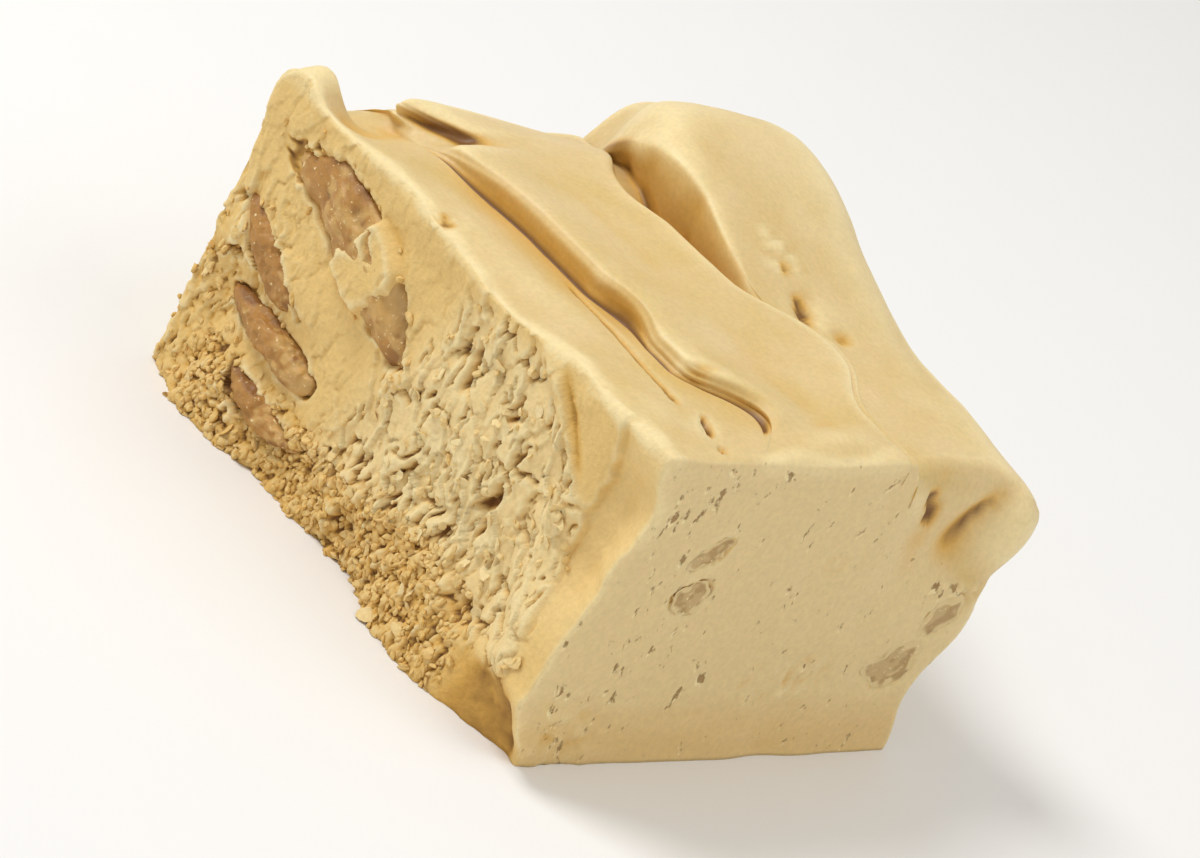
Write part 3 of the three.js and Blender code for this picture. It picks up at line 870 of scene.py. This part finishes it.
def worked_out(tree, operation, *values, clamp=False):
    """The result of an operation on two or three values."""
    settings = {"operation": operation, "use_clamp": clamp, **dict(enumerate(values))}
    return add_node(tree, "ShaderNodeMath", settings), 0


def laid_over(tree, tint, colour, share, way="MIX"):
    """A tint with a colour laid over it by a share."""
    settings = {"data_type": "RGBA", "blend_type": way, 0: share, 6: tint, 7: colour}
    return add_node(tree, "ShaderNodeMix", settings), 2


def bumped(tree, height, distance, strength, **more):
    """A normal bumped by a height that stands so many metres proud."""
    settings = {"Height": height, "Distance": distance, "Strength": strength, **more}
    return add_node(tree, "ShaderNodeBump", settings), 0


def new_finish(name):
    """An empty node material, its tree and its object coordinates."""
    material = bpy.data.materials.new(name)
    material.use_nodes = True
    tree = material.node_tree
    tree.nodes.clear()
    return material, tree, (add_node(tree, "ShaderNodeTexCoord", {}), "Object")


def end_finish(tree, settings):
    """Adds the shader with its settings and the material's output."""
    shader = add_node(tree, "ShaderNodeBsdfPrincipled", settings)
    add_node(tree, "ShaderNodeOutputMaterial", {"Surface": (shader, "BSDF")})


def bubbles(tree, spot, cut, pore, drop):
    """Burst air bubbles in the cut, about 1 mm long, leaning along the knife's way and moved down by drop."""
    settings = {"Location": (drop, 0, drop), "Rotation": (0, 0.6, 0), "Scale": (1, 1, 0.6), "Vector": spot}
    lean = add_node(tree, "ShaderNodeMapping", settings), 0
    crowd = worked_out(tree, "MULTIPLY_ADD", pore, 0.11, noise(tree, lean, 0.001, 4.0, 0.6))
    return worked_out(tree, "MULTIPLY", ranged(tree, crowd, 0.66, 0.73), cut)


def fudge_finish(colours):
    """Maple fudge: beaten sugar, butter and cream, set soft.

    To the eye it is a dense, slightly translucent paste. Light goes a couple of millimetres in, so creases
    glow orange brown, and painted shade browns creases, gaps and hollows further; the poured skin is golden
    with a low sheen, cut paste is greyer, torn paste dry, and its tips are pale with painted highlight.
    """
    material, tree, spot = new_finish("maple_fudge_paste")
    torn, cut, hollow, rim, pore = (share_of(tree, name) for name in ("torn", "cut", "hollow", "rim", "pore"))
    # Cloudy patches about 11 mm wide, sugar grain about 0.6 mm wide
    clouds = noise(tree, spot, 0.011, 3.0, 0.55)
    grain = noise(tree, spot, 0.0006, 3.0, 0.6)
    tint = laid_over(tree, colours.skin, colours.skin_deep, ranged(tree, clouds, 0.35, 0.7))
    # Painted shade: the hollow share gives golden shade up to its half and brown shade beyond
    golden, deepest = ranged(tree, hollow, end=0.5), ranged(tree, hollow, start=0.4)
    # The lit rim under each bubble is the same bubbles moved 0.25 mm down, less the bubbles
    burst, moved = (bubbles(tree, spot, cut, pore, drop) for drop in (0, 0.00025))
    lit = worked_out(tree, "SUBTRACT", moved, burst, clamp=True)
    # Painted highlight comes in with the rim share, together with worn rims
    for colour, share in ((colours.cut, cut), (colours.torn, torn), (colours.hollow, golden),
                          (colours.deep, deepest), (colours.rim, rim), (colours.rim, lit),
                          (colours.pore, burst)):
        tint = laid_over(tree, tint, colour, share)
    tint = laid_over(tree, tint, ranged(tree, grain, 0.3, 0.75, 0.93, 1.05), 1.0, "MULTIPLY")
    # Grain stands about 0.1 mm proud on torn paste and hardly at all on skin; bubbles go about 0.5 mm in
    coarse = ranged(tree, torn, low=0.08, high=0.4)
    bump = bumped(tree, grain, 0.00025, coarse)
    bump = bumped(tree, noise(tree, spot, 0.0018, 5.0, 0.65), 0.0008, coarse, Normal=bump)
    bump = bumped(tree, burst, 0.0005, 0.6, Normal=bump, invert=True)
    # Dry torn paste is duller and lets less light in than the moist skin
    end_finish(tree, {
        "Base Color": tint, "Roughness": ranged(tree, torn, low=0.48, high=0.72), "Normal": bump,
        "IOR": 1.46, "Subsurface Weight": ranged(tree, torn, low=0.25, high=0.06),
        "Subsurface Radius": (1.0, 0.6, 0.25), "Subsurface Scale": 0.0009})
    return material


def kernel_finish(colours):
    """Walnut kernel, broken and smeared with paste.

    To the eye it is matt taupe flesh with papery brown skin left in its folds, and thin paste drawn over
    parts of it.
    """
    material, tree, spot = new_finish("walnut_kernel")
    cut, skin, smear = (share_of(tree, name) for name in ("cut", "skin", "smear"))
    # Flesh clouds about 2.5 mm wide, fibres about 0.5 mm wide, and sugar grains where the fibres are thickest
    clouds = noise(tree, spot, 0.0025, 4.0, 0.6)
    fibres = noise(tree, spot, 0.0005, 3.0)
    tint = laid_over(tree, colours.kernel, colours.kernel_skin, ranged(tree, clouds, 0.4, 0.75, high=0.3))
    paste = laid_over(tree, colours.torn, colours.cut, cut)
    for colour, share in ((colours.kernel_cut, cut), (colours.kernel_skin, skin), (paste, smear),
                          (colours.rim, ranged(tree, fibres, 0.64, 0.72))):
        tint = laid_over(tree, tint, colour, share)
    end_finish(tree, {
        "Base Color": tint, "Roughness": 0.5, "Normal": bumped(tree, fibres, 0.0003, 0.5), "IOR": 1.47,
        "Subsurface Weight": 0.1, "Subsurface Radius": (1.0, 0.5, 0.25), "Subsurface Scale": 0.001})
    return material


def floor_finish(colour):
    """Matt paper: to the eye an even white sheet without sheen, hardly clouded."""
    material, tree, spot = new_finish("matt_floor_paper")
    shade = ranged(tree, noise(tree, spot, 0.02, 2.0), low=0.985)
    tint = laid_over(tree, colour, shade, 1.0, "MULTIPLY")
    end_finish(tree, {"Base Color": tint, "Roughness": 0.9, "Specular IOR Level": 0.1})
    return material


def shared_finish(name, maker):
    """The named material, made on first use."""
    return bpy.data.materials.get(name) or maker(bpy.context.scene.fudge_colours)


# The pieces

class FUDGE_OT_block(bpy.types.Operator):
    """Build the block: swirled top, torn side, cut front, slack right end and flat base"""

    bl_idname = "fudge.block"
    bl_label = "Fudge block"

    def execute(self, context):
        block = in_millimetres(context.scene.fudge_block)
        u, v, w, loops, sizes, ring = skin_lattice(TOP_COLUMNS, LENGTH_STEPS, HEIGHT_STEPS)
        form = block_form(u, v, w, block)
        normals = vertex_normals(form, loops, sizes)
        relief, droop, shares = block_relief(form, normals, (u, v, w), block)
        points = form + normals * relief[:, None] + droop[:, None] * DROOP_WAY
        points[:, 2] = np.where(w == 0, 0, np.maximum(points[:, 2], SIDE_LIFT))
        paint_cavity_shade_and_highlights(points, (u, v, w), loops, sizes, shares)
        piece = put_piece("fudge_block", points, np.append(loops, ring), np.append(sizes, len(ring)),
                          shared_finish("maple_fudge_paste", fudge_finish), shares)
        piece.data.polygons[len(sizes)].use_smooth = False
        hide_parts("fudge")
        return {"FINISHED"}


def ball_faces(columns, rows):
    """Loops and sizes of a ball's faces: a fan at each pole and rows of quads between the rings."""
    ring = np.arange(columns)
    after = np.roll(ring, -1)
    start = 1 + np.arange(rows - 1)[:, None] * columns
    last = 1 + (rows - 1) * columns
    first = np.stack([0 * ring, 1 + ring, 1 + after], 1)
    middle = np.stack([start + ring, start + columns + ring, start + columns + after, start + after], -1)
    final = np.stack([0 * ring + last + columns, last + after, last + ring], 1)
    return (np.concatenate([first.ravel(), middle.ravel(), final.ravel()]),
            np.repeat([3, 4, 3], [columns, columns * (rows - 1), columns]))


def ball_directions(columns, rows):
    """Unit directions of the ball's points, pole first, ring by ring from +z to -z, other pole last."""
    tilt = np.pi * np.arange(1, rows + 1) / (rows + 1)
    turn = 2 * np.pi * np.arange(columns) / columns
    rings = np.stack([np.outer(np.sin(tilt), np.cos(turn)), np.outer(np.sin(tilt), np.sin(turn)),
                      np.repeat(np.cos(tilt)[:, None], columns, 1)], -1)
    return np.concatenate([[[0, 0, 1]], rings.reshape(-1, 3), [[0, 0, -1]]])


def block_surface():
    """Points, normals and shares of the block that is in the scene, in its millimetres."""
    piece = bpy.data.objects.get("fudge_block")
    if piece is None:
        raise RuntimeError("Build the fudge block first")
    mesh = piece.data
    points, normals = np.empty(3 * len(mesh.vertices)), np.empty(3 * len(mesh.vertices))
    mesh.vertices.foreach_get("co", points)
    mesh.vertices.foreach_get("normal", normals)
    shares = {name: np.empty(len(mesh.vertices)) for name in ("torn", "flaky", "crumbly")}
    for name, values in shares.items():
        mesh.attributes[name].data.foreach_get("value", values)
    return points.reshape(-1, 3) / MM + PLAN_CENTRE, normals.reshape(-1, 3), shares


def scatter(name, surface, weights, count, rings, half, curl, lift, tip, pale, seed):
    """Small lumps set on the torn side, all in one mesh.

    Each is a ball squashed to half sizes drawn between two limits, with uneven radius, curled by the square
    of its length, turned about the surface normal near the tear's own run, tipped a little and lifted off
    the surface.
    """
    draw = np.random.default_rng(seed)
    at = draw.choice(len(weights), count, p=weights / weights.sum())
    middle, normal = surface[0][at], surface[1][at]
    normal = unit(normal + draw.normal(0, tip, (count, 3)))
    run = np.array([0, 0.2, 1]) + draw.normal(0, 0.4, (count, 3))
    long = unit(run - normal * np.sum(run * normal, axis=1, keepdims=True))
    wide = np.cross(normal, long)
    ball = ball_directions(*rings)
    sizes = draw.uniform(half[0], half[1], (count, 3)) * draw.uniform(0.5, 1.15, (count, 1))
    local = ball[None] * draw.uniform(0.7, 1.25, (count, len(ball), 1)) * sizes[:, None]
    local[..., 2] += curl * draw.uniform(-0.3, 1, (count, 1)) * local[..., 0] ** 2 / sizes[:, :1]
    local[..., 2] += lift * sizes[:, 2:]
    points = (middle[:, None] + local[..., :1] * long[:, None] + local[..., 1:2] * wide[:, None]
              + local[..., 2:] * normal[:, None]).reshape(-1, 3)
    points[:, 2] = np.maximum(points[:, 2], CRUMB_LIFT)
    loops, corners = ball_faces(*rings)
    loops = (loops + len(ball) * np.arange(count)[:, None]).ravel()
    none, flaky = np.zeros(len(points)), surface[2]["flaky"][at]
    # Painted shade browns each lump's underside, less on flaky ground
    under = np.clip(0.5 - 0.55 * ball[:, 2], 0, 0.85)
    # The rim share, drawn at random and more on flaky ground, is pale sugar and painted highlight
    shares = {"torn": none + 1, "cut": none, "pore": none,
              "hollow": np.outer(1 - 0.5 * flaky, under).ravel(),
              "rim": np.clip(pale * draw.random(count) + 0.45 * flaky, 0, 0.9).repeat(len(ball))}
    piece = put_piece(name, points, loops, np.tile(corners, count),
                      shared_finish("maple_fudge_paste", fudge_finish), shares, False)
    return piece


class FUDGE_OT_crumbs(bpy.types.Operator):
    """Set curled flakes and crumbs on the torn side"""

    bl_idname = "fudge.crumbs"
    bl_label = "Flakes and crumbs"

    def execute(self, context):
        settings = context.scene.fudge_scatter
        surface = block_surface()
        (_, y, z), shares = surface[0].T, surface[2]
        free, beside = np.ones(len(y)), np.zeros(len(y))
        for kernel in KERNELS.values():
            if kernel.side == "torn":
                reach = kernel_reach(kernel, y, z)
                free *= rise(1.0, 1.1, reach)
                beside += hill(reach, 1.0, 0.25) * shares["torn"]
        curled = dome(y, z, (5, 10), 4) * shares["torn"]
        flakes = (0.6 * shares["crumbly"] + shares["flaky"] + 4 * curled) * free
        crumbs = (shares["crumbly"] + 0.1 * shares["flaky"]) * free + 0.12 * beside
        scatter("torn_flakes", surface, flakes, settings.flakes, rings=(10, 3),
                half=((0.5, 0.4, 0.1), (1.6, 1.0, 0.25)), curl=0.5, lift=0.8, tip=0.4, pale=0.8,
                seed=settings.seed)
        scatter("torn_crumbs", surface, crumbs, settings.crumbs, rings=(8, 3),
                half=((0.3, 0.25, 0.2), (0.85, 0.65, 0.5)), curl=0.0, lift=0.15, tip=0.3, pale=0.25,
                seed=settings.seed + 1)
        return {"FINISHED"}


def kernel_points(kernel, columns, rows):
    """Points and finish shares of a kernel: a lumpy bent ball as in the solid, with wrinkles.

    Where the knife went through, it is cut flat just behind the cut front.
    """
    ball = ball_directions(columns, rows)
    run, aside, inward = ball.T
    lumps = kernel_lumps(kernel, np.arctan2(aside, run))
    local = np.stack([run * kernel.long * lumps, aside * kernel.wide * lumps + kernel_bend(kernel, run),
                      np.sign(inward) * np.abs(inward) ** 0.7 * kernel.deep], 1)
    own = local + [kernel.along, kernel.up, 0]
    folds = soft_noise(own * [0.5, 1, 1], 1.6, 101) + 0.5 * soft_noise(own, 0.8, 103)
    local += ball * (0.3 * folds + noise_sum(own, (0.4, 3.2, 105), (0.2, 0.6, 106)))[:, None]
    skin = 0.6 * rise(0.1, -0.6, folds) * rise(-0.1, 0.4, soft_noise(own, 4.5, 107))
    smear = rise(0.15, 0.6, noise_sum(own, (1, 3.4, 109), (0.7, 0.8, 110)) - 0.7 * run)
    along, up = turned(local[:, 0], local[:, 1], -kernel.tilt)
    along, up = along + kernel.along, up + kernel.up
    depth = local[:, 2] + kernel.sunk
    reach = kernel_reach(kernel, along, up)
    if kernel.side == "torn":
        rim = rise(0.68, 0.9, reach) * rise(-0.2, 0.2, soft_noise(own, 2.5, 119))
        shares = {"skin": np.maximum(skin, 0.8 * rim), "smear": 0.4 * smear, "cut": 0 * along}
        return np.stack([depth - 0.35, along, up], 1), shares
    level = 0.12 + 0.10 * soft_noise(np.stack([along, 0 * along, up], 1), 1.4, 117)
    rim = rise(0.75, 0.95, reach) * rise(-0.2, 0.3, soft_noise(own, 1.8, 119))
    edge = rise(0.6, 0.9, reach + 0.4 * soft_noise(own, 1.1, 121))
    shares = {"skin": np.where(depth < level, 0.35 * rim, skin),
              "smear": np.maximum(0.35 * smear, 0.9 * edge), "cut": 1 + 0 * along}
    return np.stack([along, np.maximum(depth, level), up], 1), shares


class FUDGE_OT_kernels(bpy.types.Operator):
    """Build the walnut kernels that show in the torn side and the cut front"""

    bl_idname = "fudge.kernels"
    bl_label = "Walnut kernels"

    def execute(self, context):
        for name, kernel in KERNELS.items():
            points, shares = kernel_points(kernel, *KERNEL_RINGS)
            loops, sizes = ball_faces(*KERNEL_RINGS)
            outward = np.sum(vertex_normals(points, loops, sizes) * (points - points.mean(axis=0)))
            if outward < 0:
                loops, sizes = loops[::-1], sizes[::-1]
            piece = put_piece(f"kernel_{name[-1]}", points, loops, sizes,
                              shared_finish("walnut_kernel", kernel_finish), shares)
            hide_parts(name)
        return {"FINISHED"}


# Floor, light and camera

def lay_floor(scene, colour):
    """A square floor of tiles, just under the block."""
    side = np.linspace(-FLOOR_HALF, FLOOR_HALF, FLOOR_TILES + 1)
    x, y = np.meshgrid(side, side, indexing="ij")
    points = np.stack([x, y, 0 * x - FLOOR_GAP], -1).reshape(-1, 3)
    index = np.arange(x.size).reshape(x.shape)
    faces = np.stack([index[:-1, :-1], index[1:, :-1], index[1:, 1:], index[:-1, 1:]], -1)
    mesh = bpy.data.meshes.new("floor")
    mesh.from_pydata(points * MM, [], faces.reshape(-1, 4).tolist())
    mesh.materials.append(floor_finish(colour))
    floor = bpy.data.objects.new("floor", mesh)
    scene.collection.objects.link(floor)


def hang_lights(scene, stage, right, up, look):
    """The even light all round, and the soft lights, hung as the camera sees right, up and back."""
    world = bpy.data.worlds.new("studio")
    world.use_nodes = True
    world.node_tree.nodes["Background"].inputs["Color"].default_value = (1.0, 0.985, 0.96, 1)
    world.node_tree.nodes["Background"].inputs["Strength"].default_value = stage.surround
    scene.world = world
    for label, (way, size) in LIGHTS.items():
        lamp = bpy.data.lights.new(label, "AREA")
        lamp.shape, lamp.size, lamp.energy = "DISK", size, getattr(stage, f"{label}_power")
        light = bpy.data.objects.new(label, lamp)
        offset = way[0] * right + way[1] * up - way[2] * look
        light.location = offset.normalized() * LIGHT_DISTANCE + Vector((0, 0, LIGHT_LIFT))
        light.rotation_euler = (-light.location).to_track_quat("-Z", "Y").to_euler()
        scene.collection.objects.link(light)


class FUDGE_OT_stage(bpy.types.Operator):
    """Lay the pale floor, hang the soft lights and set the camera"""

    bl_idname = "fudge.stage"
    bl_label = "Floor, light and camera"

    def execute(self, context):
        scene = context.scene
        lay_floor(scene, scene.fudge_stage.floor)
        scene.view_settings.view_transform = "Standard"
        look = CAMERA_LOOK
        right = look.cross(CAMERA_UP).normalized()
        up = right.cross(look)
        hang_lights(scene, scene.fudge_stage, right, up, look)
        camera = bpy.data.objects.new("camera", bpy.data.cameras.new("camera"))
        spot = Vector((np.array(CAMERA_SPOT) - PLAN_CENTRE) * MM)
        turn = Matrix((right, up, -look)).transposed().to_4x4()
        camera.matrix_world = Matrix.Translation(spot) @ turn
        camera.data.lens = SENSOR_WIDTH * FOCAL_PIXELS / PICTURE_PIXELS
        camera.data.sensor_width = SENSOR_WIDTH
        scene.collection.objects.link(camera)
        scene.camera = camera
        return {"FINISHED"}


class FUDGE_PT_panel(bpy.types.Panel):
    """Lists the steps that build the slice"""

    bl_idname = "FUDGE_PT_panel"
    bl_label = "Maple walnut fudge"
    bl_space_type = "VIEW_3D"
    bl_region_type = "UI"
    bl_category = "Fudge"

    def draw(self, context):
        for operator in OPERATORS:
            self.layout.operator(operator.bl_idname)
        for group in SETTINGS:
            settings = getattr(context.scene, group)
            for prop in settings.bl_rna.properties.keys():
                if prop not in ("rna_type", "name"):
                    self.layout.prop(settings, prop)


SETTINGS = {"fudge_block": FudgeBlockSettings, "fudge_colours": FudgeColourSettings,
            "fudge_scatter": FudgeScatterSettings, "fudge_stage": FudgeStageSettings}
OPERATORS = (FUDGE_OT_block, FUDGE_OT_crumbs, FUDGE_OT_kernels, FUDGE_OT_stage)


def register():
    for cls in (*SETTINGS.values(), *OPERATORS, FUDGE_PT_panel):
        bpy.utils.register_class(cls)
    for name, group in SETTINGS.items():
        setattr(bpy.types.Scene, name, bpy.props.PointerProperty(type=group))


def unregister():
    for name in SETTINGS:
        delattr(bpy.types.Scene, name)
    for cls in (FUDGE_PT_panel, *reversed(OPERATORS), *reversed(list(SETTINGS.values()))):
        bpy.utils.unregister_class(cls)


def main():
    register()
    bpy.ops.fudge.block()
    bpy.ops.fudge.crumbs()
    bpy.ops.fudge.kernels()
    bpy.ops.fudge.stage()


if __name__ == "__main__":
    main()
